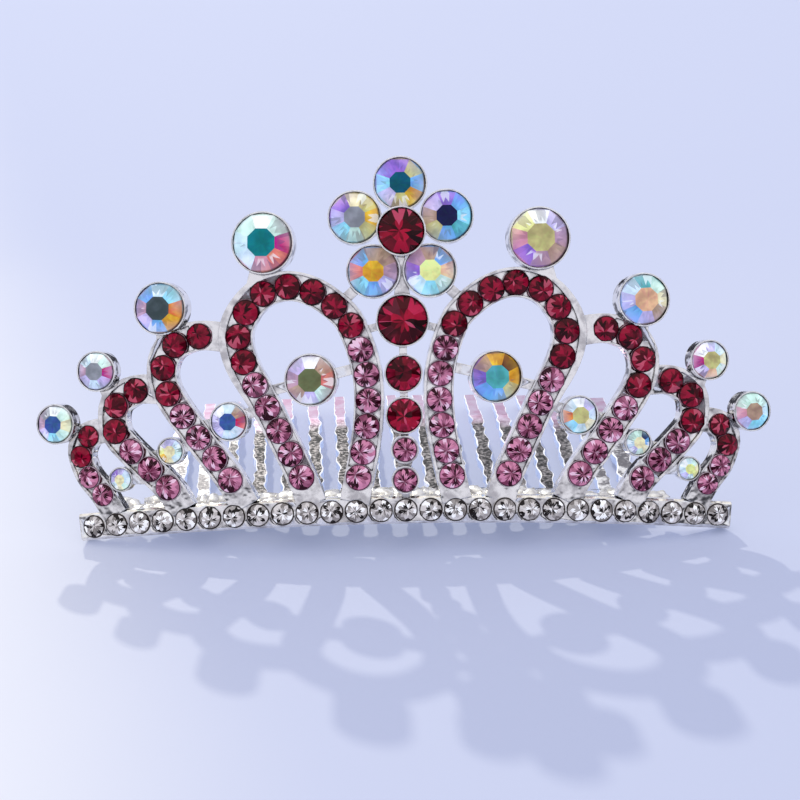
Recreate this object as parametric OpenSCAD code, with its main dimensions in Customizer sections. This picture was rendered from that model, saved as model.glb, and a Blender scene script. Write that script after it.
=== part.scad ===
// Tiara comb: a cast, stone-set face on a curved band, with a comb soldered behind it.
// Millimetres. +Z is up, -Y is the front, and the origin is on the table under the middle of the box.
// Face places are written (x, h): x along the band from the arch's own middle, h up the leaning face.

/* [Band] */
// Radius of the arc that the band follows
arc_r = 183; // [150:5:240]
// Slope of the plane that the arc lies in, its front raised, in degrees
arc_tilt = 42; // [36:1:48]
// Lean of the face backwards from upright, in degrees
face_lean = 20; // [12:1:26]
// Height of the band up the face
band_h = 3.9; // [3.7:0.1:4.6]
// Thickness of the band from front to back
band_t = 2.4; // [2.2:0.1:3]
// Bevel along the band's front edges
band_bevel = 0.35; // [0.1:0.05:0.5]
// Number of stones in the band
band_stones = 27; // [27:2:31]
// Spacing of the band's stones along the arc
band_pitch = 3.5; // [3.4:0.05:3.7]
// Metal past the middle of the last stone at each end of the band
band_end = 2.2; // [1.9:0.1:3]

/* [Stones] */
// Diameter of a clear stone in the band
band_stone_d = 3.1; // [2.9:0.05:3.2]
// Diameter of a stone in the arches
arch_stone_d = 3.44; // [3.2:0.02:3.5]
// Diameter of a stone in the small end arches
end_stone_d = 2.9; // [2.6:0.05:3]
// Least gap between two neighbouring stones in an arch
stone_gap = 0.15; // [0.12:0.01:0.3]
// Gap between a stone's widest edge and the metal round it
seat_gap = 0.06; // [0.04:0.01:0.1]
// Diameter of a flower petal stone
petal_d = 7.1; // [6.4:0.1:7.2]
// Diameter of the red stone in the middle of the flower
flower_centre_d = 6.4; // [5.6:0.1:6.6]

/* [Face] */
// Thickness of the arches' metal
plate_t = 1.8; // [1.4:0.1:2.2]
// Depth of the channel that the arch stones stand in
channel_depth = 0.45; // [0.3:0.05:0.6]
// Metal beside the stones on the inside of an arch
rim_inner = 0.3; // [0.25:0.05:0.6]
// Metal beside the stones on the outside of an arch
rim_outer = 0.45; // [0.35:0.05:0.9]
// Extra metal on the outside of an arch's shoulder
shoulder = 0.7; // [0:0.1:1.2]
// Wall of a cup round a large stone
cup_wall = 0.2; // [0.2:0.05:0.4]
// Width of the tall arch, between the middles of its legs
arch_w = 18; // [17:0.25:19]
// Height of the tall arch's middle line above the band's middle line
arch_h = 32; // [30:0.5:35]
// Width of the bars that hold the stones inside the arches
bar_w = 1.5; // [1.2:0.1:2]
// Width of the centre column's rod
rod_w = 1.1; // [0.9:0.1:1.6]

/* [Comb] */
// Number of teeth
teeth = 17; // [13:2:19]
// Spacing of the teeth at the spine
tooth_pitch = 4.33; // [4.1:0.01:4.5]
// Width of a tooth
tooth_w = 1.85; // [1.5:0.05:2.4]
// Width of the broad tooth at each end
end_tooth_w = 2.6; // [1.8:0.1:3.2]
// Length of a tooth past the spine
tooth_l = 43.7; // [30:0.1:50]
// Thickness of the comb at its spine
comb_t = 1.4; // [1.1:0.1:1.8]
// Thickness of a tooth at its tip
tip_t = 0.9; // [0.6:0.1:1.2]
// Share of a tooth, from its tip, that bends down
bend_share = 0.32; // [0.2:0.02:0.4]
// Drop of the tip below the straight line of the tooth
bend_drop = 1.2; // [0.4:0.1:1.6]
// Width of the spine from front to back
spine_w = 4.4; // [3.5:0.1:5]
// Distance of the spine's back edge behind the band's middle line
spine_back = 9.5; // [8.5:0.1:12]
// Height of the spine's underside below the band's middle line
spine_drop = 3.1; // [2.6:0.1:3.3]
// Skew of all teeth towards -X, in degrees
tooth_skew = 2.5; // [0:0.5:4]
// Turn outwards from one tooth to the next, in degrees
tooth_fan = 0.3; // [0:0.05:0.4]
// Number of solder tongues between spine and band
tongues = 5; // [3:2:7]
// Width of a solder tongue
tongue_w = 5; // [3:0.5:7]

/* [Hidden] */
eps = 0.02;
// Far enough in front of the face to cut through all that stands there
clear_front = 8;
// Sides of a cup, and of a whole turn of the band's arc
round_sides = 32;
arc_sides = 180;
// Bars lie this far behind the arches' front
bar_inset = 0.2;
// Room between a stone's point and its hollow's floor
tip_room = 0.15;
// The channel stops this far past the middles of the first and the last stone
channel_stop = 0.2;
// Where an arch's shoulder stands out most along its run, and how far it reaches either way
closed_peak = 0.35;
open_peak = 0.26;
peak_reach = 0.18;
// A tab is this share as wide at its stone as at the arch
tab_taper = 0.8;
// Rounding at a tooth's tip, and the spine's length past the last tooth's middle
tip_round = 0.5;
spine_end = 1.3;
// A solder tongue on the band's back: its lower and its upper edge, and its reach into the spine
tongue_low = -1.2;
tongue_high = 0.1;
tongue_reach = 1;
tongue_inset = 0.1;

// Stone proportions as shares of the stone's radius
table_share = 0.55;
crown_share = 0.30;
girdle_share = 0.08;
pavilion_share = 0.55;
// Radius of the hole behind a small stone, as a share of the stone's
hole_share = 0.72;
// Metal behind a cup's hollow, and in front of a stone's widest edge
cup_floor = 0.4;
cup_lip = 0.05;
// Collar and stem that carry the raised red stone of the flower
collar_h = 1;
stem_r = 2.8;
// Height of the stones' widest edge in front of the face plate
arch_seat = 0.05;
column_seat = 0.5;
crest_seat = 1.2;
inner_seat = 0.1;
petal_seat = 1.0;
centre_seat = 2.8;

// Half of the band's length along the arc, and the angle that it spans
band_half = (band_stones - 1) / 2 * band_pitch + band_end;
function turn(u) = u / arc_r * 180 / PI;
lean_in_plane = arc_tilt - face_lean;

// Radius and height, in the arc's own tilted plane, of a point y behind and z up the face
function section(y, z) = [
    arc_r - (y * cos(lean_in_plane) - z * sin(lean_in_plane)),
    y * sin(lean_in_plane) + z * cos(lean_in_plane)
];
// World height and depth of a section point at u along the arc, from the band's middle
function height_of(p, u) = p[1] * cos(arc_tilt) - (arc_r - p[0] * cos(turn(u))) * sin(arc_tilt);
function depth_of(p, u) = p[1] * sin(arc_tilt) + (arc_r - p[0] * cos(turn(u))) * cos(arc_tilt);

// The band's lowest corners, at its ends, stand on the table
band_z = -height_of(section(band_t, -band_h / 2), band_half);

// Teeth: the tips of the outermost ones rest on the table too
tooth_half = (teeth - 1) / 2 * tooth_pitch;
gap_r = (tooth_pitch - tooth_w) / 2;
function root_z(u) = band_z + height_of([arc_r, 0], u) - spine_drop;
function root_y(u) = spine_back + depth_of([arc_r, 0], u);
tooth_slope = asin((root_z(tooth_half) - bend_drop) / tooth_l);

// The origin lies under the middle of the box from the front of the stones to the tips
front_y = -arch_seat - crown_share * band_stone_d / 2 - band_h / 4 * sin(face_lean);
tip_y = root_y(tooth_half) + tooth_l * cos(tooth_slope) * cos(tooth_fan * (teeth - 1) / 2);
depth_shift = -(front_y + tip_y) / 2;

// Each arch: where it is tangent to the band, as a share of the band's half length, its stone
// diameter, and which part of its run of stones is red
ARCH_AT = 0; ARCH_STONE = 1; RED_FROM = 2; RED_TO = 3; CLOSED = 4;
arches = [
    [0.3146, arch_stone_d, 0.25, 0.70, true],
    [0.639, arch_stone_d, 0.00, 0.50, false],
    [0.807, arch_stone_d, 0.00, 0.45, false],
    [0.9535, end_stone_d, 0.00, 0.45, false]
];
function arch_at(k) = arches[k][ARCH_AT] * band_half;

// Middle lines of the arches as shares of arch_w and arch_h. The tall one runs from its outer foot
// over the head to its inner foot. The others run from where they spring to their foot.
lines = [
    [[-0.10, 0.04], [-0.02, 0.17], [0.22, 0.48], [0.38, 0.67], [0.415, 0.80], [0.34, 0.90], [0.20, 0.975],
     [0.00, 1.00], [-0.19, 0.97], [-0.36, 0.90], [-0.48, 0.81], [-0.58, 0.60], [-0.56, 0.36], [-0.43, 0.04]],
    [[-0.367, 0.792], [-0.167, 0.807], [0.04, 0.773], [0.14, 0.68], [0.115, 0.56], [-0.085, 0.37],
     [-0.315, 0.175], [-0.435, 0.04]],
    [[-0.255, 0.585], [-0.075, 0.59], [0.095, 0.535], [0.125, 0.42], [0.015, 0.325], [-0.265, 0.15],
     [-0.365, 0.04]],
    [[-0.185, 0.425], [-0.045, 0.41], [0.04, 0.33], [0.005, 0.235], [-0.095, 0.15], [-0.195, 0.04]]
];
// Distance along the line to the first stone, and from the last stone to the end, as shares of arch_h
FIRST = 0; LAST = 1;
runs = [[0.125, 0.11], [0.11, 0.135], [0.10, 0.12], [0.085, 0.11]];

// Crest and inner stones: arch, place as shares of arch_w and arch_h, diameter
STONE_X = 0; STONE_H = 1; STONE_D = 2;
crest = [[0.176, 1.195, 8.3], [0.106, 0.943, 7.1], [0.21, 0.693, 5.3], [0.203, 0.478, 5.3]];
inner = [[-0.138, 0.585, 7.0], [-0.358, 0.42, 5.1], [-0.32, 0.307, 3.5], [-0.275, 0.20, 3.1]];
// Tabs from the arch's run, at a share of its length, out to the crest stone: share, width
tabs = [[0.42, 2.6], [0.26, 3.0], [0.27, 2.8], [0.22, 2.6]];
// Bars from each inner stone: the arch that the bar reaches, and the share of its run
BAR_ARCH = 0; BAR_SHARE = 1;
bars = [
    [[0, 0.235], [0, 0.735]],
    [[0, 0.205], [1, 0.60]],
    [[1, 0.68], [2, 0.63]],
    [[2, 0.79], [3, 0.72]]
];

// Centre column, upwards from the band: height as a share of arch_h, diameter
column = [[0.133, 3.44], [0.267, 3.44], [0.418, 4.8], [0.602, 4.9], [0.835, 7.0]];
first_red = 2;
flower_h = 1.22 * arch_h;
flower_r = 6.75;
// Gussets of the column: height as a share of arch_h, half of the width there, half of it at the end
GUSSET_FROM = 0; GUSSET_TO = 1; GUSSET_WIDE = 2; GUSSET_NARROW = 3;
gussets = [[0.234, 0.166, 1.3, 0.6], [0.929, 1.038, 1.2, 0.7]];
// Bars from the column's top stone and from a petal to the tall arch: share of the arch's run
column_bar_at = 0.665;
petal_bar_at = 0.60;

// Smooth curve through points, four samples to a span
span_steps = 4;
function spline(a, b, c, d, t) =
    0.5 * (2 * b + (c - a) * t + (2 * a - 5 * b + 4 * c - d) * t * t + (3 * b - a - 3 * c + d) * t * t * t);
function smooth(p) = let (n = len(p)) [
    for (i = [0:n - 2], j = [0:span_steps - 1])
        spline(p[max(i - 1, 0)], p[i], p[i + 1], p[min(i + 2, n - 1)], j / span_steps),
    p[n - 1]
];
function reach(line, i) = i == 0 ? 0 : reach(line, i - 1) + norm(line[i] - line[i - 1]);
function reaches(line) = [for (i = [0:len(line) - 1]) reach(line, i)];
// Point and unit direction at distance s along a line
function piece_at(dist, s) = max([for (i = [0:len(dist) - 2]) if (dist[i] <= s || i == 0) i]);
function point_at(line, dist, s) =
    let (i = piece_at(dist, s)) line[i] + (line[i + 1] - line[i]) * (s - dist[i]) / (dist[i + 1] - dist[i]);
function way_at(line, i) =
    let (d = line[min(i + 1, len(line) - 1)] - line[max(i - 1, 0)]) d / norm(d);
// Unit direction to the outside of an arch. The closed line and the open ones run opposite ways.
function outwards(k, way) = (arches[k][CLOSED] ? 1 : -1) * [way[1], -way[0]];

paths = [for (line = lines) smooth([for (p = line) [p[0] * arch_w, p[1] * arch_h]])];
dists = [for (path = paths) reaches(path)];
function path_end(k) = dists[k][len(dists[k]) - 1];
function first_at(k) = runs[k][FIRST] * arch_h;
function run_of(k) = path_end(k) - first_at(k) - runs[k][LAST] * arch_h;
function count_of(k) = floor(run_of(k) / (arches[k][ARCH_STONE] + stone_gap)) + 1;
function stone_at(k, i) = point_at(paths[k], dists[k], first_at(k) + i * run_of(k) / (count_of(k) - 1));
function share_point(k, share) = point_at(paths[k], dists[k], share * path_end(k));
function is_red(k, i) =
    let (share = i / (count_of(k) - 1)) share >= arches[k][RED_FROM] && share <= arches[k][RED_TO];
function crest_at(k) = [crest[k][STONE_X] * arch_w, crest[k][STONE_H] * arch_h];
function inner_at(k) = [inner[k][STONE_X] * arch_w, inner[k][STONE_H] * arch_h];
function petal_at(i) = [flower_r * sin(72 * i), flower_h + flower_r * cos(72 * i)];
// A point of arch j's plate as it lies in arch k's plate
function moved(p, j, k) = [p[0] + arch_at(j) - (k < 0 ? 0 : arch_at(k)), p[1]];

// Places its children at u along the band: x along it, z up the face, y backwards
module face_at(u) {
    translate([0, depth_shift, band_z])
        rotate([-arc_tilt, 0, 0])
            translate([0, arc_r, 0])
                rotate(turn(u))
                    translate([0, -arc_r, 0])
                        rotate([lean_in_plane, 0, 0])
                            children();
}

// Turns a flat drawing up to stand in the face, with its front at front and its depth behind that
module plate(front, depth) {
    translate([0, depth - front, 0])
        rotate([90, 0, 0])
            linear_extrude(depth)
                children();
}

// A round along the face's own normal, from back to front
module round_out(p, r, back, front) {
    translate([p[0], -back, p[1]])
        rotate([90, 0, 0])
            cylinder(r = r, h = front - back, $fn = round_sides);
}

// A cut stone with its widest edge at seat: a flat table, eight crown facets, a thin edge and a
// pointed back. With sides 16 the edge is rounder, and each facet stays flat.
module stone(p, d, seat, sides = 8) {
    r = d / 2;
    step = 360 / sides;
    mid_drop = sides == 8 ? 0 : crown_share * r * (1 - cos(step)) / (cos(step) - table_share * cos(step));
    rim = [for (i = [0:sides - 1]) [r * cos(i * step), r * sin(i * step)]];
    crown = [for (i = [0:sides - 1]) [rim[i][0], rim[i][1], i % 2 == 1 && sides == 16 ? -mid_drop : 0]];
    base = [for (c = rim) [c[0], c[1], -girdle_share * r - (sides == 8 ? 0 : mid_drop)]];
    top = [for (i = [0:7]) [table_share * r * cos(45 * i), table_share * r * sin(45 * i), crown_share * r]];
    tip = [[0, 0, -(girdle_share + pavilion_share) * r]];
    points = concat(crown, base, top, tip);
    t = 2 * sides;
    per = sides / 8;
    faces = concat(
        [[for (i = [7:-1:0]) t + i]],
        [for (i = [0:7]) [t + i, t + (i + 1) % 8, (per * (i + 1)) % sides, per * i]],
        [for (i = [0:7]) if (per == 2) [per * i, (per * (i + 1)) % sides, per * i + 1]],
        [for (i = [0:sides - 1]) [i, (i + 1) % sides, sides + (i + 1) % sides, sides + i]],
        [for (i = [0:sides - 1]) [sides + i, sides + (i + 1) % sides, t + 8]]
    );
    translate([p[0], -seat, p[1]])
        rotate([90, 0, 0])
            rotate(22.5)
                polyhedron(points = points, faces = faces, convexity = 2);
}

// The hollow that a stone stands in: a straight part round its widest edge and a hole behind it
module seat_cut(p, d, seat, depth) {
    round_out(p, d / 2 + seat_gap, seat - depth, clear_front);
    round_out(p, d / 2 * hole_share, floor_of(d, seat), seat);
}

// Level of a hollow's floor, just behind the point of a stone
function floor_of(d, seat) = seat - (girdle_share + pavilion_share) * d / 2 - tip_room;

// The hollow of a cup, open to the front
module cup_cut(p, d, seat, front = clear_front) {
    round_out(p, d / 2 + seat_gap, floor_of(d, seat), front);
}

// A closed cup, from behind its floor to just past the stone's widest edge
module cup(p, d, seat) {
    round_out(p, d / 2 + seat_gap + cup_wall, floor_of(d, seat) - cup_floor, seat + cup_lip);
}

// A flat bar of even width between two points of the face
module bar(a, b, w) {
    d = b - a;
    side = [-d[1], d[0]] / norm(d) * w / 2;
    plate(-bar_inset, plate_t - bar_inset) polygon([a - side, b - side, b + side, a + side]);
}

// Outline of an arch's strip, or of the channel in it when it stops short of the rims
module strip(k, inside, outside, bulge) {
    path = paths[k];
    n = len(path);
    peak = arches[k][CLOSED] ? closed_peak : open_peak;
    outer = [for (i = [0:n - 1])
        let (share = dists[k][i] / path_end(k), near = max(0, 1 - pow((share - peak) / peak_reach, 2)))
        path[i] + outwards(k, way_at(path, i)) * (outside + bulge * near * near)];
    inner_side = [for (i = [n - 1:-1:0]) path[i] - outwards(k, way_at(path, i)) * inside];
    polygon(concat(outer, inner_side));
}

// Channel between the first and the last stone of an arch
module channel(k) {
    half = arches[k][ARCH_STONE] / 2 + seat_gap;
    path = paths[k];
    from = first_at(k) + channel_stop;
    to = first_at(k) + run_of(k) - channel_stop;
    keep = [for (i = [0:len(path) - 1]) if (dists[k][i] > from && dists[k][i] < to) i];
    side_a = [for (i = keep) path[i] + outwards(k, way_at(path, i)) * half];
    side_b = [for (j = [len(keep) - 1:-1:0]) path[keep[j]] - outwards(k, way_at(path, keep[j])) * half];
    plate(clear_front, clear_front + channel_depth) polygon(concat(side_a, side_b));
}

module arch_metal(k) {
    half = arches[k][ARCH_STONE] / 2;
    bulge = arches[k][CLOSED] ? shoulder : shoulder / 2;
    plate(0, plate_t) strip(k, half + rim_inner, half + rim_outer, bulge);
    // Tab and cup of the crest stone
    c = crest_at(k);
    from = share_point(k, tabs[k][0]);
    way = (c - from) / norm(c - from);
    side = [-way[1], way[0]] * tabs[k][1] / 2;
    plate(0, plate_t) polygon([from - side, c - side * tab_taper, c + side * tab_taper, from + side]);
    cup(c, crest[k][STONE_D], crest_seat);
    // Cup and bars of the inner stone
    cup(inner_at(k), inner[k][STONE_D], inner_seat);
    for (b = bars[k]) {
        bar(inner_at(k), moved(share_point(b[BAR_ARCH], b[BAR_SHARE]), b[BAR_ARCH], k), bar_w);
    }
}

module arch_cuts(k) {
    channel(k);
    for (i = [0:count_of(k) - 1]) {
        seat_cut(stone_at(k, i), arches[k][ARCH_STONE], arch_seat, channel_depth + arch_seat);
    }
    cup_cut(crest_at(k), crest[k][STONE_D], crest_seat);
    cup_cut(inner_at(k), inner[k][STONE_D], inner_seat);
}

module centre_metal() {
    top_cup = column[len(column) - 1];
    plate(0, plate_t) polygon([[-rod_w / 2, 0], [rod_w / 2, 0], [rod_w / 2, flower_h], [-rod_w / 2, flower_h]]);
    for (c = column) cup([0, c[0] * arch_h], c[1], column_seat);
    for (g = gussets) {
        a = g[GUSSET_WIDE];
        b = g[GUSSET_NARROW];
        low = g[GUSSET_FROM] * arch_h;
        high = g[GUSSET_TO] * arch_h;
        plate(0, plate_t) polygon([[-a, low], [a, low], [b, high], [-b, high]]);
    }
    // Short bars from the column and the flower to the tall arches
    for (side = [-1, 1]) {
        head = moved(share_point(0, column_bar_at), 0, -1);
        bar([0, top_cup[0] * arch_h], [side * head[0], head[1]], rod_w);
        brow = moved(share_point(0, petal_bar_at), 0, -1);
        bar(petal_at(side * 2), [side * brow[0], brow[1]], bar_w);
    }
    // Flower: five cups, the plate between them, and a stem that carries the raised red stone
    for (i = [0:4]) cup(petal_at(i), petal_d, petal_seat);
    middle = [0, flower_h];
    round_out(middle, flower_r - petal_d / 2 + cup_wall, -plate_t, cup_lip);
    round_out(middle, stem_r, -plate_t, centre_seat - collar_h + eps);
    round_out(middle, flower_centre_d / 2 + seat_gap + cup_wall, centre_seat - collar_h, centre_seat + cup_lip);
}

module centre_cuts() {
    for (c = column) cup_cut([0, c[0] * arch_h], c[1], column_seat);
    // The petals' hollows stop under the collar of the raised middle stone
    for (i = [0:4]) cup_cut(petal_at(i), petal_d, petal_seat, centre_seat - collar_h - eps);
    middle = [0, flower_h];
    round_out(middle, flower_centre_d / 2 + seat_gap, centre_seat - collar_h + cup_wall, clear_front);
    round_out(middle, stem_r - 2 * cup_wall, floor_of(flower_centre_d, centre_seat), centre_seat);
}

// The band as one revolved section, with bevelled front edges and square ends
module band_metal() {
    h = band_h / 2;
    b = band_bevel;
    outline = [[0, h - b], [b, h], [band_t, h], [band_t, -h], [b, -h], [0, -h + b]];
    translate([0, depth_shift, band_z])
        rotate([-arc_tilt, 0, 0])
            translate([0, arc_r, 0])
                rotate(-90 - turn(band_half))
                    rotate_extrude(angle = 2 * turn(band_half), $fn = arc_sides)
                        polygon([for (p = outline) section(p[0], p[1])]);
}

module band_cuts() {
    for (i = [0:band_stones - 1]) {
        face_at((i - (band_stones - 1) / 2) * band_pitch)
            seat_cut([0, 0], band_stone_d, arch_seat, channel_depth + arch_seat);
    }
}

module both_sides() {
    children();
    mirror([1, 0, 0]) children();
}

module frame() {
    color("silver")
        difference() {
            union() {
                band_metal();
                both_sides() for (k = [0:3]) face_at(arch_at(k)) arch_metal(k);
                face_at(0) centre_metal();
            }
            band_cuts();
            both_sides() for (k = [0:3]) face_at(arch_at(k)) arch_cuts(k);
            face_at(0) centre_cuts();
        }
}

// One tooth from the spine backwards: straight, then bent down to its tip
module tooth(w) {
    straight = tooth_l * (1 - bend_share);
    side = [
        [-spine_w / 2, 0], [straight, 0], [tooth_l, -bend_drop], [tooth_l, -bend_drop + tip_t - tip_round],
        [tooth_l - tip_round, -bend_drop + tip_t], [straight, comb_t], [-spine_w / 2, comb_t]
    ];
    translate([-w / 2, 0, 0])
        rotate([90, 0, 90])
            linear_extrude(w)
                polygon(side);
}

// The spine, with the round ends of the gaps between the teeth
module spine() {
    y = spine_back + gap_r;
    outline = [[y - gap_r - spine_w, 0], [y, 0], [y, comb_t], [y - gap_r - spine_w, comb_t]];
    difference() {
        translate([0, depth_shift, band_z])
            rotate([-arc_tilt, 0, 0])
                translate([0, arc_r, 0])
                    rotate(-90 - turn(tooth_half + spine_end))
                        rotate_extrude(angle = 2 * turn(tooth_half + spine_end), $fn = arc_sides)
                            polygon([for (p = outline) level_section(p[0], p[1] - spine_drop)]);
        for (i = [0:teeth - 2]) {
            u = (i + 0.5 - (teeth - 1) / 2) * tooth_pitch;
            translate([arc_r * sin(turn(u)), depth_shift + root_y(u) + gap_r, root_z(u) - comb_t])
                cylinder(r = gap_r, h = 3 * comb_t, $fn = round_sides);
        }
    }
}

module comb() {
    color("gainsboro") {
        spine();
        for (i = [0:teeth - 1]) {
            k = i - (teeth - 1) / 2;
            u = k * tooth_pitch;
            translate([arc_r * sin(turn(u)), depth_shift + root_y(u), root_z(u)])
                rotate([0, 0, tooth_skew - tooth_fan * k])
                    rotate([-tooth_slope, 0, 0])
                        tooth(abs(k) == (teeth - 1) / 2 ? end_tooth_w : tooth_w);
        }
        difference() {
            for (i = [0:tongues - 1]) tongue((i / (tongues - 1) - 0.5) * 2 * (tooth_half - tooth_pitch));
            band_metal();
        }
    }
}

// The same as section, for a level piece y behind and z above the band's middle
function level_section(y, z) = [
    arc_r - (y * cos(arc_tilt) - z * sin(arc_tilt)),
    y * sin(arc_tilt) + z * cos(arc_tilt)
];

// A flat tongue of solder from inside the band's back face down to the spine
module tongue(u) {
    root = spine_back - spine_w + tongue_reach;
    side = [
        [band_t / 2, tongue_low], [root, -spine_drop + tongue_inset],
        [root, -spine_drop + comb_t - tongue_inset], [band_t / 2, tongue_high]
    ];
    x = arc_r * sin(turn(u)) - tongue_w / 2;
    y = depth_shift + depth_of([arc_r, 0], u);
    translate([x, y, band_z + height_of([arc_r, 0], u)])
        rotate([90, 0, 90])
            linear_extrude(tongue_w)
                polygon(side);
}

module band_stones_all() {
    color("white")
        for (i = [0:band_stones - 1]) {
            face_at((i - (band_stones - 1) / 2) * band_pitch) stone([0, 0], band_stone_d, arch_seat);
        }
}

module arch_stones(k, side, red) {
    color(red ? "crimson" : "palevioletred")
        mirror([side == "left" ? 1 : 0, 0, 0])
            face_at(arch_at(k))
                for (i = [0:count_of(k) - 1]) {
                    if (is_red(k, i) == red) stone(stone_at(k, i), arches[k][ARCH_STONE], arch_seat);
                }
}

module column_stone(i, tone) {
    color(tone)
        face_at(0) stone([0, column[i][0] * arch_h], column[i][1], column_seat, i < first_red ? 8 : 16);
}

module crest_stone(k, side) {
    color("lightcyan")
        mirror([side == "left" ? 1 : 0, 0, 0])
            face_at(arch_at(k)) stone(crest_at(k), crest[k][STONE_D], crest_seat, 16);
}

module inner_stone(k, side) {
    color("lavender")
        mirror([side == "left" ? 1 : 0, 0, 0])
            face_at(arch_at(k)) stone(inner_at(k), inner[k][STONE_D], inner_seat, 16);
}

module petal(i) {
    color("paleturquoise") face_at(0) stone(petal_at(i), petal_d, petal_seat, 16);
}

module flower_centre() {
    color("crimson") face_at(0) stone([0, flower_h], flower_centre_d, centre_seat, 16);
}

frame();
comb();
band_stones_all();  // band_stones
for (i = [0:first_red - 1]) column_stone(i, "palevioletred");  // column_pink_stones
flower_centre();
for (i = [1:5]) petal(i - 1);
for (i = [1:3]) column_stone(first_red + i - 1, "crimson");
for (k = [0:3], side = ["left", "right"]) {
    crest_stone(k, side);
    inner_stone(k, side);
    arch_stones(k, side, true);
    arch_stones(k, side, false);
}
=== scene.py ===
import math
import random

import bmesh
import bpy
from mathutils import Matrix, Vector, noise


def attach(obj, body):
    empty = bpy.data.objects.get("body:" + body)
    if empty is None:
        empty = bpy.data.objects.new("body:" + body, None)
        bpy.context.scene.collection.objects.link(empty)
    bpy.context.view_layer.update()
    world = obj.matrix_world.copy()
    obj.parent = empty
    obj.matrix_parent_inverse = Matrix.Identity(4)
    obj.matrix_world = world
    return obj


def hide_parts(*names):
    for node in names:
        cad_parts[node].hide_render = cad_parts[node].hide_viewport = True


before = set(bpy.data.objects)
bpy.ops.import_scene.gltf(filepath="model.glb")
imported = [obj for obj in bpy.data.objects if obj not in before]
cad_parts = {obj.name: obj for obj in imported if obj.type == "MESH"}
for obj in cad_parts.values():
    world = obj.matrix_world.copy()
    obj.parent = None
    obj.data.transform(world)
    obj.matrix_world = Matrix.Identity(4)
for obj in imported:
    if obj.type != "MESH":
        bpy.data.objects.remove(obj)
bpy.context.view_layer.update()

# Cast face
# The band, arches, cups and bars: one bright plated casting. Its edges are softened by the plating,
# and its skin keeps the fine grain of the mould.

MM = 0.001


class Wire:
    """One value in a paint, so that mixing reads as sums."""

    def __init__(self, paint, socket):
        self.paint = paint
        self.socket = socket

    def maths(self, operation, *others):
        return self.paint.node("Math", enumerate((self,) + others), operation=operation)

    def __add__(self, other):
        return self.maths("ADD", other)

    def __sub__(self, other):
        return self.maths("SUBTRACT", other)

    def __rsub__(self, other):
        return self * -1 + other

    def __mul__(self, other):
        return self.maths("MULTIPLY", other)

    def __truediv__(self, other):
        return self.maths("DIVIDE", other)

    def __pow__(self, other):
        return self.maths("POWER", other)

    __radd__ = __add__
    __rmul__ = __mul__

    def ramp(self, low, high):
        """0 below low and 1 above high, smooth between, or the other way round if high is lower."""
        return self.paint.node("MapRange", {0: self, 1: low, 2: high}, interpolation_type="SMOOTHSTEP")

    def parts(self):
        return [self.paint.node("SeparateXYZ", {0: self}, out=axis) for axis in range(3)]


class Paint:
    """One material, mixed from noise and plain maths."""

    def __init__(self, name, holders=bpy.data.materials, shader="Principled BSDF", **constants):
        self.holder = holders.new(name)
        self.holder.use_nodes = True
        self.tree = self.holder.node_tree
        self.shader = self.tree.nodes[shader]
        self.set(**constants)

    def set(self, **values):
        for name, value in values.items():
            self.feed(self.shader.inputs[name.replace("_", " ")], value)

    def feed(self, socket, value):
        if isinstance(value, Wire):
            self.tree.links.new(value.socket, socket)
        else:
            socket.default_value = value

    def node(self, kind, inputs=(), out=0, **settings):
        made = self.tree.nodes.new("ShaderNode" + kind)
        for name, value in settings.items():
            setattr(made, name, value)
        for key, value in dict(inputs).items():
            self.feed(made.inputs[key], value)
        return Wire(self, made.outputs[out])

    def place(self):
        """Where a point is in the piece, in metres."""
        return self.node("TexCoord", out=3)

    def at(self, x, y, z):
        return self.node("CombineXYZ", {0: x, 1: y, 2: z})

    def noise(self, where, scale, detail=2.0):
        return self.node("TexNoise", {"Vector": where, "Scale": scale, "Detail": detail})

    def mix(self, share, a, b, **settings):
        return self.node("Mix", {0: share, 6: a, 7: b}, out=2, data_type="RGBA", **settings)

    def open_air(self, reach):
        """1 in the open and less in a crevice."""
        return self.node("AmbientOcclusion", {"Distance": reach}, out=1, samples=4)

    def along(self, one, other):
        """How far two directions agree, from -1 to 1."""
        return self.node("VectorMath", enumerate((one, other)), out="Value", operation="DOT_PRODUCT")

    def bumps(self, height, strength, distance, normal=None):
        inputs = {"Height": height, "Strength": strength, "Distance": distance}
        if normal is not None:
            inputs["Normal"] = normal
        self.set(Normal=self.node("Bump", inputs))


def rgb(red, green, blue):
    """A colour as the eye reads it, 0 to 255, turned into the linear values that a shader takes."""
    return tuple((c / 255) ** 2.2 for c in (red, green, blue)) + (1.0,)


def finished(mesh, name, paint, nodes, smooth=False):
    """Closes a mesh into a piece that stands for its CAD nodes."""
    bmesh.ops.recalc_face_normals(mesh, faces=mesh.faces)
    for face in mesh.faces:
        face.smooth = smooth
    data = bpy.data.meshes.new(name)
    mesh.to_mesh(data)
    mesh.free()
    data.materials.append(paint.holder)
    piece = bpy.data.objects.new(name, data)
    bpy.context.collection.objects.link(piece)
    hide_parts(*nodes)
    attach(piece, "root")
    return piece


def merged(node):
    """A copy of a CAD node's mesh with its seams closed and its flat faces whole."""
    mesh = bmesh.new()
    mesh.from_mesh(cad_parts[node].data)
    bmesh.ops.remove_doubles(mesh, verts=mesh.verts, dist=0.002 * MM)
    bmesh.ops.dissolve_limit(mesh, angle_limit=math.radians(0.5), verts=mesh.verts, edges=mesh.edges)
    return mesh


FACE_OUT = (0, -0.94, 0.34)
EDGE_ROUND = 0.16 * MM
CREVICE_REACH = 0.42 * MM
DENT_HEIGHT = 0.3 * MM

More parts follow.
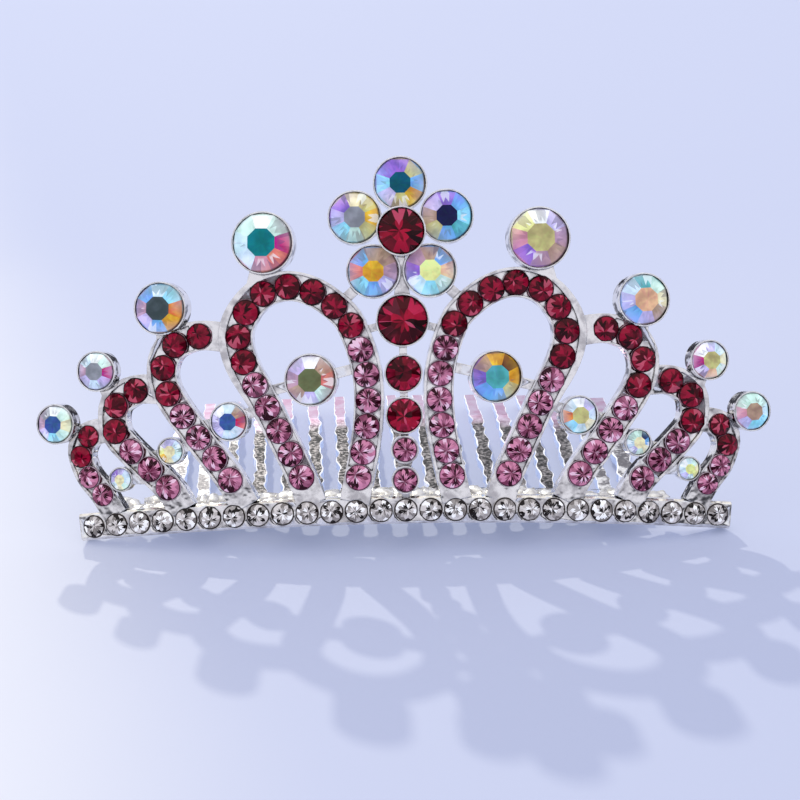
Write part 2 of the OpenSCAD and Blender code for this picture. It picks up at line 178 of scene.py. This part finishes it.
silver = Paint("cast_silver")
spot = silver.place()
dent = silver.noise(spot, 430, 2)
patch = silver.noise(spot, 620, 3)
flat = silver.node("NewGeometry", out="True Normal")
rounded = silver.node("Bevel", {"Radius": EDGE_ROUND}, samples=4)
plated = silver.mix(patch.ramp(0.32, 0.62), rgb(198, 192, 188), rgb(255, 249, 240))
# Walls between front and back that don't look up mirror the dark room
_, _, rise = flat.parts()
wall = silver.along(flat, FACE_OUT).maths("ABSOLUTE").ramp(0.75, 0.4) * rise.ramp(0.5, 0.2)
plated = silver.mix(wall, plated, silver.mix(patch.ramp(0.40, 0.50), rgb(84, 78, 76), rgb(240, 235, 228)))
# Rounded edges are painted white and made less metallic: a painted highlight along the edges
rim = (1 - silver.along(rounded, flat)).ramp(0.02, 0.08)
plated = silver.mix(rim, plated, rgb(255, 255, 255))
# Where the metal is shut in it is painted near-black, more in some patches than others: painted shade in
# the crevices
crevice = silver.open_air(CREVICE_REACH) + 0.45 * patch + 0.12
silver.set(
    Base_Color=silver.mix(crevice.ramp(0.86, 1.10), rgb(22, 18, 20), plated),
    Roughness=0.05 + 0.1 * patch,
    Metallic=1 - 0.5 * rim,
)
silver.bumps(dent, 0.5, DENT_HEIGHT, rounded)

cast = merged("frame")
face_piece = finished(cast, "cast_face", silver, ["frame"], smooth=True)
face_piece.data.set_sharp_from_angle(angle=math.radians(28))

# Comb
# The comb is a rougher casting of the same metal. Its teeth have wavy edges and a grainy dark top,
# their bent tips are smooth, and lumps of solder hold the spine to the band.

TEETH_FROM = -16.5 * MM
TIPS_FROM = 9.5 * MM
TIPS_TO = 28 * MM
STEP = 0.4 * MM
EDGE_WIDTH = 0.13 * MM
WAVE = 0.56 * MM

comb_silver = Paint("comb_silver", Emission_Strength=0.4)
spot = comb_silver.place()
x, y, z = spot.parts()
# 1 on the teeth's bevelled upper edges, 0.5 on their sides and 0 on top and below
side = comb_silver.node("Attribute", attribute_name="wall", out=2)
wall = side.ramp(0.0, 0.5)
rim = side.ramp(0.5, 1.0)
speck = comb_silver.noise(spot, 1900, 5)
blotch = comb_silver.noise(spot, 420, 3)
tips = (y + blotch * 0.006).ramp(TIPS_FROM, TIPS_FROM + 7 * MM)
top = comb_silver.mix((speck * 0.75 + blotch * 0.25).ramp(0.42, 0.64), rgb(34, 34, 38), rgb(134, 130, 136))
# The teeth at both ends mirror the sky
ends = x.maths("ABSOLUTE").ramp(25 * MM, 30 * MM)
sky = comb_silver.mix((speck * 0.4 + blotch * 0.6).ramp(0.44, 0.58), rgb(112, 110, 118), rgb(222, 222, 228))
top = comb_silver.mix(ends * 0.75, top, sky)
rosy = comb_silver.mix(blotch.ramp(0.35, 0.65), rgb(198, 160, 190), rgb(208, 190, 214))
top = comb_silver.mix(tips, top, rosy)
# The sides are painted a pale floor blue and glow faintly: a painted reflection of the floor
skin = comb_silver.mix(wall, top, rgb(214, 224, 246))
gleam = comb_silver.mix(wall, rgb(0, 0, 0), rgb(120, 136, 166))
# The bevelled upper edges are painted white and glow: a painted highlight
comb_silver.set(
    Base_Color=comb_silver.mix(rim, skin, rgb(255, 255, 255)),
    Roughness=0.45 - 0.1 * tips,
    Metallic=1 - 0.8 * wall,
    Emission_Color=comb_silver.mix(rim, gleam, rgb(206, 206, 214)),
)
comb_silver.bumps(speck * (1 - tips) * (1 - 0.8 * wall), 0.45, 0.14 * MM)

comb = merged("comb")
step = TEETH_FROM
while step < TIPS_TO:
    geometry = comb.verts[:] + comb.edges[:] + comb.faces[:]
    bmesh.ops.bisect_plane(comb, geom=geometry, plane_co=(0, step, 0), plane_no=(0, 1, 0), dist=0.01 * MM)
    step += STEP
upper = []
for edge in comb.edges:
    slopes = [face.normal.z for face in edge.link_faces]
    if len(slopes) == 2 and min(vert.co.y for vert in edge.verts) > TEETH_FROM - 2 * MM:
        if max(slopes) > 0.8 and min(abs(slope) for slope in slopes) < 0.2:
            upper.append(edge)
bmesh.ops.bevel(comb, geom=upper, offset=EDGE_WIDTH, segments=1, affect="EDGES", clamp_overlap=False)
for vert in comb.verts:
    if vert.co.y > TEETH_FROM + 0.5 * MM:
        settle = max(0.35, 1 - max(0, vert.co.y - TIPS_FROM) / (10 * MM))
        place = vert.co / MM
        way = noise.noise(Vector((place.x * 0.8, place.y / 2.3, 4.2)))
        way += 0.2 * noise.noise(Vector((place.x * 0.8, place.y / 1.2, 9.1)))
        vert.co.x += WAVE * way * settle
comb_piece = finished(comb, "comb_casting", comb_silver, ["comb"])
walls = comb_piece.data.attributes.new("wall", "FLOAT", "FACE")
for face, mark in zip(comb_piece.data.polygons, walls.data):
    slope = abs(face.normal.x)
    if 0.3 < slope < 0.9:
        mark.value = 1.0
    elif slope > 0.9 or face.normal.y > 0.6:
        mark.value = 0.5

# Solder
# The comb is soft-soldered to the back of the band: flattened lumps along the joint, wider towards
# the spine, and a puddle at the left end.

BAND_RADIUS = 183 * MM
JOINT_LENGTH = 74
JOINT_BACK = -22.4
JOINT_TOP = 6.75
LUMP_WIDE, LUMP_DEEP, LUMP_HIGH = (1.0, 2.1), (0.9, 1.7), (0.42, 0.62)

solder = Paint("solder", Metallic=0.55)
spot = solder.place()
ripple = solder.noise(spot, 900, 3)
solder.set(
    Base_Color=solder.mix(ripple.ramp(0.35, 0.65), rgb(206, 202, 200), rgb(255, 253, 249)),
    Roughness=0.12 + 0.2 * ripple,
)
solder.bumps(ripple, 0.3, 0.12 * MM)

rng = random.Random(41)
lumps = bmesh.new()
joint = [(i / 69 - 0.5) * JOINT_LENGTH + rng.uniform(-0.5, 0.5) for i in range(70)]
puddle = [-43.0, -41.6, -40.2, -39.0, -37.6, -36.4, -35.0]
for i, along in enumerate(joint + puddle):
    big = 1.6 if along in puddle else 1
    x = along * MM
    sag = (1 - math.cos(x / BAND_RADIUS)) * BAND_RADIUS
    wide = rng.uniform(*LUMP_WIDE)
    deep = rng.uniform(*LUMP_DEEP) * big
    high = rng.uniform(*LUMP_HIGH) * big
    shape = Matrix.Diagonal((wide, deep, high, 1))
    behind = JOINT_BACK + rng.uniform(-0.5, 1.6) * big
    middle = Vector((x, behind * MM, (JOINT_TOP - rng.uniform(0.0, 0.5)) * MM))
    middle += Vector((0, sag * 0.74, -sag * 0.67))
    turned = Matrix.Translation(middle) @ Matrix.Rotation(rng.uniform(0, 3), 4, "Z") @ shape
    ball = bmesh.ops.create_icosphere(lumps, subdivisions=2, radius=MM, matrix=turned)
    for vert in ball["verts"]:
        away = vert.co - middle
        vert.co += away * 0.5 * noise.noise(vert.co / MM * 1.4 + Vector((i, 0, 0)))
finished(lumps, "solder_lumps", solder, [], smooth=True)

# Stones
# Each cut stone is built afresh where the CAD has one: a flat table, eight crown facets with small
# triangles at the rim, a thin edge and a pointed back. The light that the foil behind the glass throws
# back through each facet is painted on it as its own tint: a painted reflection, kept as a colour on the
# face.

UP = Vector((0, 0, 1))
# Shares of a stone's radius: the table's radius, then heights above and below its widest edge
TABLE, CROWN, MID_DROP, GIRDLE, BACK = 0.50, 0.30, 0.085, 0.15, 0.60
PETAL_TABLE = 0.44


def stones_in(node):
    """Middle, outward direction and radius of every stone in a CAD node, from left to right."""
    mesh = merged(node)
    todo = set(mesh.verts)
    found = []
    while todo:
        island = {todo.pop()}
        edge = list(island)
        while edge:
            vert = edge.pop()
            for link in vert.link_edges:
                other = link.other_vert(vert)
                if other in todo:
                    todo.remove(other)
                    island.add(other)
                    edge.append(other)
        table = max({f for v in island for f in v.link_faces}, key=lambda f: len(f.verts))
        middle = table.calc_center_median()
        out = table.normal.normalized()
        level = {v: (v.co - middle).dot(out) for v in island}
        radius = max((v.co - middle - out * level[v]).length for v in island)
        rim = max(level[v] for v in island if (v.co - middle - out * level[v]).length > 0.98 * radius)
        found.append((middle + out * rim, out, radius))
    mesh.free()
    return sorted(found, key=lambda s: (s[0].x, s[0].z))


def cut_stone(mesh, middle, out, radius, tints, seed, table=TABLE):
    """Adds one stone to mesh: its facets carry tints, a list of the table and of the crown's eight
    facets clockwise from the top, as seen from the front."""
    up = (UP - out * out.z).normalized()
    across = up.cross(out)
    place = Matrix.Translation(middle) @ Matrix((across, up, out)).transposed().to_4x4()
    rings = [
        (table, CROWN, 22.5), (1, 0, 22.5), (1, -MID_DROP, 0), (1, -GIRDLE, 22.5), (1, -GIRDLE, 0),
        (0.03, -BACK, 22.5),
    ]
    verts = []
    for share, height, turn in rings:
        spin = Matrix.Rotation(math.radians(turn), 4, "Z") @ Matrix.Translation((0, 0, height * radius))
        ring = bmesh.ops.create_circle(mesh, segments=8, radius=share * radius, matrix=place @ spin)
        verts += ring["verts"]
    hull = bmesh.ops.convex_hull(mesh, input=verts)
    faces = [g for g in hull["geom"] if isinstance(g, bmesh.types.BMFace)]
    edges = list({e for f in faces for e in f.edges})
    bmesh.ops.dissolve_limit(mesh, angle_limit=math.radians(1), verts=verts, edges=edges)
    uv = mesh.loops.layers.uv["cut"]
    tint = mesh.loops.layers.float_color["tint"]
    seeds = mesh.faces.layers.float["seed"]
    back = place.inverted()
    for face in {f for v in verts if v.is_valid for f in v.link_faces}:
        centre = back @ face.calc_center_median() / radius
        normal = (place.to_3x3().inverted() @ face.normal).normalized()
        sector = round(math.degrees(math.atan2(centre.x, centre.y)) / 45) % 8
        if centre.z > CROWN * 0.98:
            colour = tints[0]
        elif centre.z > -MID_DROP:
            colour = tints[1 + sector]
            if centre.xy.length > 0.86:
                near = tints[1 + (sector + (1 if seed > 0.5 else 7)) % 8]
                colour = tuple(0.45 * a + 0.55 * b for a, b in zip(colour, near))
        else:
            colour = tuple(0.12 * c for c in tints[1 + sector][:3]) + (1.0,)
        face[seeds] = seed
        for loop in face.loops:
            flat_at = back @ loop.vert.co / radius
            loop[uv].uv = (0.5 + flat_at.x / 2, 0.5 + flat_at.y / 2)
            # Towards its neighbour a facet takes a little of the neighbour's tint
            turn = math.degrees(math.atan2(flat_at.x, flat_at.y)) / 45 - sector
            turn = (turn + 4) % 8 - 4
            beside = tints[1 + (sector + (1 if turn > 0 else 7)) % 8]
            share = 0.3 if centre.z < CROWN * 0.98 and flat_at.xy.length > 0.8 else 0.0
            loop[tint] = tuple((1 - share) * a + share * b for a, b in zip(colour, beside))


def stone_mesh():
    mesh = bmesh.new()
    mesh.loops.layers.uv.new("cut")
    mesh.loops.layers.float_color.new("tint")
    mesh.faces.layers.float.new("seed")
    return mesh


def stone_paint(name, glow):
    """A glossy paint for stones: it returns the place in the stone from -1 to 1, the distance from
    its middle, and the stone's own chance number."""
    paint = Paint(name, Roughness=0.08, Coat_Weight=0.12, Coat_Roughness=0.03, IOR=1.2)
    # The stone glows a little: painted light for the light that comes through the glass
    paint.set(Emission_Strength=glow)
    seed = paint.node("Attribute", attribute_name="seed", out=2)
    u, v, _ = paint.node("UVMap", uv_map="cut").parts()
    x = u * 2 - 1
    y = v * 2 - 1
    return paint, x, y, (x * x + y * y) ** 0.5, seed


# A stone's colour also feeds its glow: painted light through the glass
def shine(paint, colour):
    paint.set(Base_Color=colour, Emission_Color=colour)


def folds(paint, x, y, seed, lean, count, rings):
    """Splits a stone into kites round an off-centre middle, painted reflections of the facets behind as
    they show through the front: three chance numbers for each kite, and a thin line between the kites."""
    cx = ((seed * 5.17).maths("FRACT") - 0.5) * lean
    cy = ((seed * 9.73).maths("FRACT") - 0.5) * lean
    turn = (y - cy).maths("ARCTAN2", x - cx) / (2 * math.pi) + 0.5 + seed
    far = ((x - cx) ** 2 + (y - cy) ** 2) ** 0.5
    zigzag = ((turn * count).maths("FRACT") - 0.5).maths("ABSOLUTE")
    ring = (far * rings + zigzag * 1.2).maths("FLOOR")
    wedge = turn * count + ring * 0.5
    where = paint.at(wedge.maths("FLOOR"), ring, seed * 90)
    chance = paint.node("TexWhiteNoise", {"Vector": where}, out="Color")
    split = ((wedge.maths("FRACT") - 0.5).maths("ABSOLUTE") * 2).ramp(1 - 0.16 * rings / count, 1)
    return chance.parts(), split, far


# Clear stones of the band: painted reflections in grey and white kites with near-black ones between,
# painted white glints, and a thin dark rim
clear, x, y, out_r, seed = stone_paint("clear_stone", 0.3)
(level, bright, other), split, _ = folds(clear, x, y, seed, 0.4, 12, 3.6)
colour = clear.mix(level.ramp(0.1, 0.9), rgb(124, 118, 116), rgb(210, 204, 202))
colour = clear.mix(other.ramp(0.25, 0.23), colour, rgb(34, 30, 30))
colour = clear.mix(bright.ramp(0.86, 0.88), colour, rgb(255, 255, 255))
colour = clear.mix(split * 0.6, colour, rgb(244, 240, 234))
colour = clear.mix(out_r.ramp(0.82, 0.88), colour, rgb(40, 34, 34))
shine(clear, clear.mix(out_r.ramp(0.95, 0.98), colour, rgb(190, 184, 180)))

# Red stones: crimson kites of painted reflection that run into each other, a few painted glints, and a dark
# rim
red, x, y, out_r, seed = stone_paint("red_stone", 0.2)
(level, bright, other), split, _ = folds(red, x, y, seed, 0.6, 9, 2.2)
soft = red.noise(red.at(x, y, seed * 40), 1.5, 2)
colour = red.mix((level * 0.55 + soft * 0.6).ramp(0.3, 0.85), rgb(62, 6, 20), rgb(152, 24, 54))
colour = red.mix(other.ramp(0.24, 0.16) * 0.8, colour, rgb(30, 2, 8))
colour = red.mix(bright.ramp(0.88, 0.92) * 0.7, colour, rgb(214, 96, 120))
colour = red.mix(split * 0.3, colour, rgb(190, 60, 90))
colour = red.mix(out_r.ramp(0.84, 0.92), colour, rgb(30, 4, 12))
shine(red, red.mix(out_r.ramp(0.95, 0.98) * soft.ramp(0.4, 0.6), colour, rgb(170, 120, 136)))

# Pink stones: painted reflections in narrow light and plum kites round a darker middle, painted glints, and
# thin light lines between
pink, x, y, out_r, seed = stone_paint("pink_stone", 0.22)
(level, bright, other), split, far = folds(pink, x, y, seed, 0.5, 17, 2.9)
colour = pink.mix(level.ramp(0.1, 0.9), rgb(120, 58, 84), rgb(214, 138, 170))
colour = pink.mix(other.ramp(0.34, 0.31), colour, rgb(48, 10, 26))
colour = pink.mix(bright.ramp(0.87, 0.89), colour, rgb(240, 200, 222))
colour = pink.mix(far.ramp(0.45, 0.1) * 0.5, colour, rgb(80, 18, 44))
colour = pink.mix(split * 0.5, colour, rgb(226, 170, 198))
colour = pink.mix(out_r.ramp(0.86, 0.92), colour, rgb(48, 12, 28))
shine(pink, pink.mix(out_r.ramp(0.94, 0.97) * 0.8, colour, rgb(190, 168, 182)))

# Stones with a rainbow coat: the facet's tint, turned a little in hue and light from kite to kite as
# painted reflection, with painted white glints
coated, x, y, out_r, seed = stone_paint("coated_stone", 0.4)
tint = coated.node("Attribute", attribute_name="tint")
(level, bright, other), split, _ = folds(coated, x, y, seed, 0.15, 16, 2.6)
drift = coated.noise(coated.at(x, y, seed * 40), 2.2, 2)
colour = coated.node("HueSaturation", {
    "Hue": 0.5 + (drift - 0.5) * 0.07 + (other - 0.5) * 0.03,
    "Value": 0.66 + 0.3 * level * out_r.ramp(0.2, 0.7) + 0.36 * drift.ramp(0.3, 0.7),
    "Color": tint,
})
inside = out_r.ramp(0.5, 0.6)
colour = coated.mix(other.ramp(0.13, 0.10) * inside * 0.4, colour, rgb(96, 84, 104))
colour = coated.mix(bright.ramp(0.90, 0.94) * inside * 0.5, colour, rgb(246, 250, 255))
# The cup's shade falls on the right-hand side of the rim
shade = out_r.ramp(0.90, 0.97) * (x * 0.8 - y * 0.4).ramp(0.2, 0.7)
colour = coated.mix(shade * 0.85, colour, rgb(44, 36, 40))
shine(coated, coated.mix(out_r.ramp(0.95, 1.0) * 0.3, colour, rgb(90, 82, 90)))

# Large red stones: painted reflections in dark and rosy kites over the facets' tints, darkest near the
# middle, with painted glints
ruby, x, y, out_r, seed = stone_paint("ruby_stone", 0.22)
tint = ruby.node("Attribute", attribute_name="tint")
(level, bright, other), split, _ = folds(ruby, x, y, seed, 0.3, 10, 1.9)
drift = ruby.noise(ruby.at(x, y, seed * 40), 1.8, 2)
colour = ruby.mix((level * 0.6 + drift * 0.6).ramp(0.25, 0.85) * 0.9, rgb(50, 2, 14), tint)
colour = ruby.mix(other.ramp(0.24, 0.18) * 0.85, colour, rgb(22, 0, 6))
colour = ruby.mix(bright.ramp(0.80, 0.86) * 0.7, colour, rgb(214, 84, 116))
colour = ruby.mix(split * 0.3 * out_r.ramp(0.3, 0.7), colour, rgb(206, 66, 104))
shine(ruby, ruby.mix(out_r.ramp(0.92, 1.0), colour, rgb(30, 2, 10)))

TINTS = {
    "white": rgb(244, 249, 252), "ice": rgb(196, 224, 238), "mint": rgb(192, 226, 214),
    "lime": rgb(222, 230, 150), "cream": rgb(226, 218, 176), "khaki": rgb(184, 178, 120),
    "gold": rgb(216, 164, 52), "orange": rgb(204, 112, 48), "peach": rgb(222, 174, 140),
    "brown": rgb(92, 58, 44), "tan": rgb(166, 138, 120), "olive": rgb(98, 104, 72),
    "teal": rgb(12, 118, 124), "sea": rgb(78, 162, 168), "cyan": rgb(136, 210, 234),
    "azure": rgb(104, 166, 226), "royal": rgb(58, 88, 150), "navy": rgb(28, 28, 74),
    "violet": rgb(136, 98, 196), "lavender": rgb(184, 176, 222), "mauve": rgb(172, 138, 160),
    "magenta": rgb(176, 26, 118), "rose": rgb(206, 140, 158), "coral": rgb(214, 118, 104),
    "slate": rgb(66, 78, 82), "grey": rgb(138, 142, 152), "crimson": rgb(176, 24, 56),
    "cherry": rgb(200, 38, 80), "wine": rgb(96, 10, 32), "deep": rgb(10, 84, 104),
}

# Table, then the crown clockwise from the top
LARGE_STONES = {
    "crest_1_left": "teal white mint magenta coral rose ice ice mint",
    "crest_2_left": "slate ice cyan orange gold azure lavender mauve azure",
    "crest_3_left": "grey white mint magenta lavender ice lavender mauve ice",
    "crest_4_left": "royal white mint cream mint cyan lavender mauve grey",
    "crest_1_right": "khaki white lavender mauve tan mauve violet rose lime",
    "crest_2_right": "peach sea mint cream tan lavender azure lavender ice",
    "crest_3_right": "khaki lavender ice cream mint peach lavender magenta white",
    "crest_4_right": "tan mint mint ice cyan cyan lavender rose mint",
    "inner_1_left": "olive white tan coral mint lavender tan mauve lavender",
    "inner_2_left": "royal ice tan cherry ice ice lavender lavender white",
    "inner_3_left": "cream lavender ice mint ice cream gold lime lavender",
    "inner_4_left": "cream lavender ice ice mint cream ice lavender violet",
    "inner_1_right": "sea gold brown gold khaki azure azure violet tan",
    "inner_2_right": "khaki white lavender ice cream ice cyan orange ice",
    "inner_3_right": "cream mint navy azure cream mint lavender ice mint",
    "inner_4_right": "lime ice mint cream lime ice lavender ice white",
    "petal_1": "deep violet khaki azure gold khaki lavender cyan violet",
    "petal_2": "navy violet azure cyan sea azure khaki tan lavender",
    "petal_3": "lime tan azure peach mint cyan ice violet mauve",
    "petal_4": "gold tan tan mauve lavender azure cyan coral azure",
    "petal_5": "grey cream khaki gold khaki mint cyan lavender violet",
    "flower_centre": "crimson wine wine crimson wine crimson wine crimson wine",
    "column_red_1": "crimson cherry cherry crimson crimson cherry crimson wine crimson",
    "column_red_2": "wine crimson cherry crimson cherry crimson cherry wine cherry",
    "column_red_3": "crimson crimson cherry crimson wine crimson cherry wine cherry",
}

rng = random.Random(7)
for node, names in LARGE_STONES.items():
    mesh = stone_mesh()
    for middle, out, radius in stones_in(node):
        table = PETAL_TABLE if "petal" in node else TABLE
        cut_stone(mesh, middle, out, radius, [TINTS[name] for name in names.split()], rng.random(), table)
    if "red" in node or "centre" in node:
        finished(mesh, node + "_cut", ruby, [node])
    else:
        finished(mesh, node + "_cut", coated, [node])

# The small stones are pressed in by hand: a little crooked, one higher than the next, edge to edge
plain = [rgb(200, 200, 205)] * 9
fields = [("band_stones", clear, "clear_stone", 1.12), ("column_pink_stones", pink, "pink_stone", 1.03)]
for k in range(1, 5):
    swell = 1.16 if k == 4 else 1.11
    for side in ("left", "right"):
        fields.append((f"arch_{k}_{side}_red", red, "red_stone", swell))
        fields.append((f"arch_{k}_{side}_pink", pink, "pink_stone", swell))
for node, paint, slot_name, swell in fields:
    mesh = stone_mesh()
    for middle, out, radius in stones_in(node):
        crooked = Vector([rng.uniform(-0.06, 0.06) for _ in range(3)])
        lift = rng.uniform(0.02, 0.22) * MM if paint is not clear else 0
        lean = (out + crooked).normalized()
        cut_stone(mesh, middle + out * lift, lean, radius * swell, plain, rng.random())
    finished(mesh, node + "_cut", paint, [node])

# Floor, light and camera
# A pale lavender tabletop, a low sun from behind on the left, and a bright room in front.

floor_paint = Paint("tabletop", Roughness=0.85, Emission_Strength=0.405)
spot = floor_paint.place()
x, y, z = spot.parts()
light_edge_wobble = floor_paint.noise(spot, 14, 2) * 0.012
left_fade = (x + y * 0.3 + light_edge_wobble).ramp(-0.075, -0.025)
far_fade = y.ramp(0.02, 0.16)
near_fade = (x - y * 0.6 + light_edge_wobble).ramp(0.0, 0.12)
# The tabletop is painted lighter on the left and a little darker far back and on the near right: painted
# light and shade
colour = floor_paint.mix(left_fade, rgb(248, 247, 250), rgb(213, 216, 236))
colour = floor_paint.mix(far_fade * (0.4 + 0.4 * left_fade), colour, rgb(205, 209, 233))
colour = floor_paint.mix(near_fade, colour, rgb(203, 207, 230))
# The tabletop glows a little, bluer than the room's light: painted light that lifts and blues its shadows
floor_paint.set(
    Base_Color=floor_paint.mix(0.46, colour, rgb(0, 0, 0)),
    Emission_Color=floor_paint.mix(0.5, colour, rgb(156, 182, 249)),
)
mesh = bmesh.new()
bmesh.ops.create_grid(mesh, x_segments=1, y_segments=1, size=1.5)
data = bpy.data.meshes.new("tabletop")
mesh.to_mesh(data)
mesh.free()
data.materials.append(floor_paint.holder)
floor = bpy.data.objects.new("tabletop", data)
bpy.context.collection.objects.link(floor)

sun_data = bpy.data.lights.new("sun", "SUN")
sun_data.energy = 1.65
sun_data.angle = math.radians(1.6)
sun_data.color = (1.0, 0.97, 0.80)
sun = bpy.data.objects.new("sun", sun_data)
bpy.context.collection.objects.link(sun)
toward = Vector((-0.348, 1.314, 1.0)).normalized()
sun.rotation_euler = toward.to_track_quat("Z", "Y").to_euler()

# The room: bright above, with a dark band just over the table's edge that the metal picks up
room = Paint("room", bpy.data.worlds, "Background", Strength=1.0)
_, _, height = room.node("TexCoord", out=0).parts()
colour = room.mix(height.ramp(0.10, 0.20), rgb(62, 64, 74), rgb(220, 224, 242))
room.set(Color=room.mix(height.ramp(0.45, 0.9), colour, rgb(255, 255, 255)))
bpy.context.scene.world = room.holder

CAMERA_TILT = math.radians(22)
CAMERA_TURN = -0.00509
CAMERA_ROLL = 0.01682
CAMERA_REACH = 216.12 * MM
LOOK_AT = Vector((-0.536, -17.35, 19.413)) * MM

ahead = math.cos(CAMERA_TILT)
back = Vector((math.sin(CAMERA_TURN) * ahead, -math.cos(CAMERA_TURN) * ahead, math.sin(CAMERA_TILT)))
right = Vector((math.cos(CAMERA_TURN), math.sin(CAMERA_TURN), 0))
above = right.cross(back) * -1
across = right * math.cos(CAMERA_ROLL) - above * math.sin(CAMERA_ROLL)
upward = right * math.sin(CAMERA_ROLL) + above * math.cos(CAMERA_ROLL)
camera_data = bpy.data.cameras.new("camera")
camera_data.lens = 67.5
camera_data.sensor_width = 36
camera = bpy.data.objects.new("camera", camera_data)
bpy.context.collection.objects.link(camera)
facing = Matrix((across, upward, back)).transposed().to_4x4()
camera.matrix_world = Matrix.Translation(LOOK_AT + back * CAMERA_REACH) @ facing
bpy.context.scene.camera = camera
bpy.context.scene.view_settings.view_transform = "Standard"
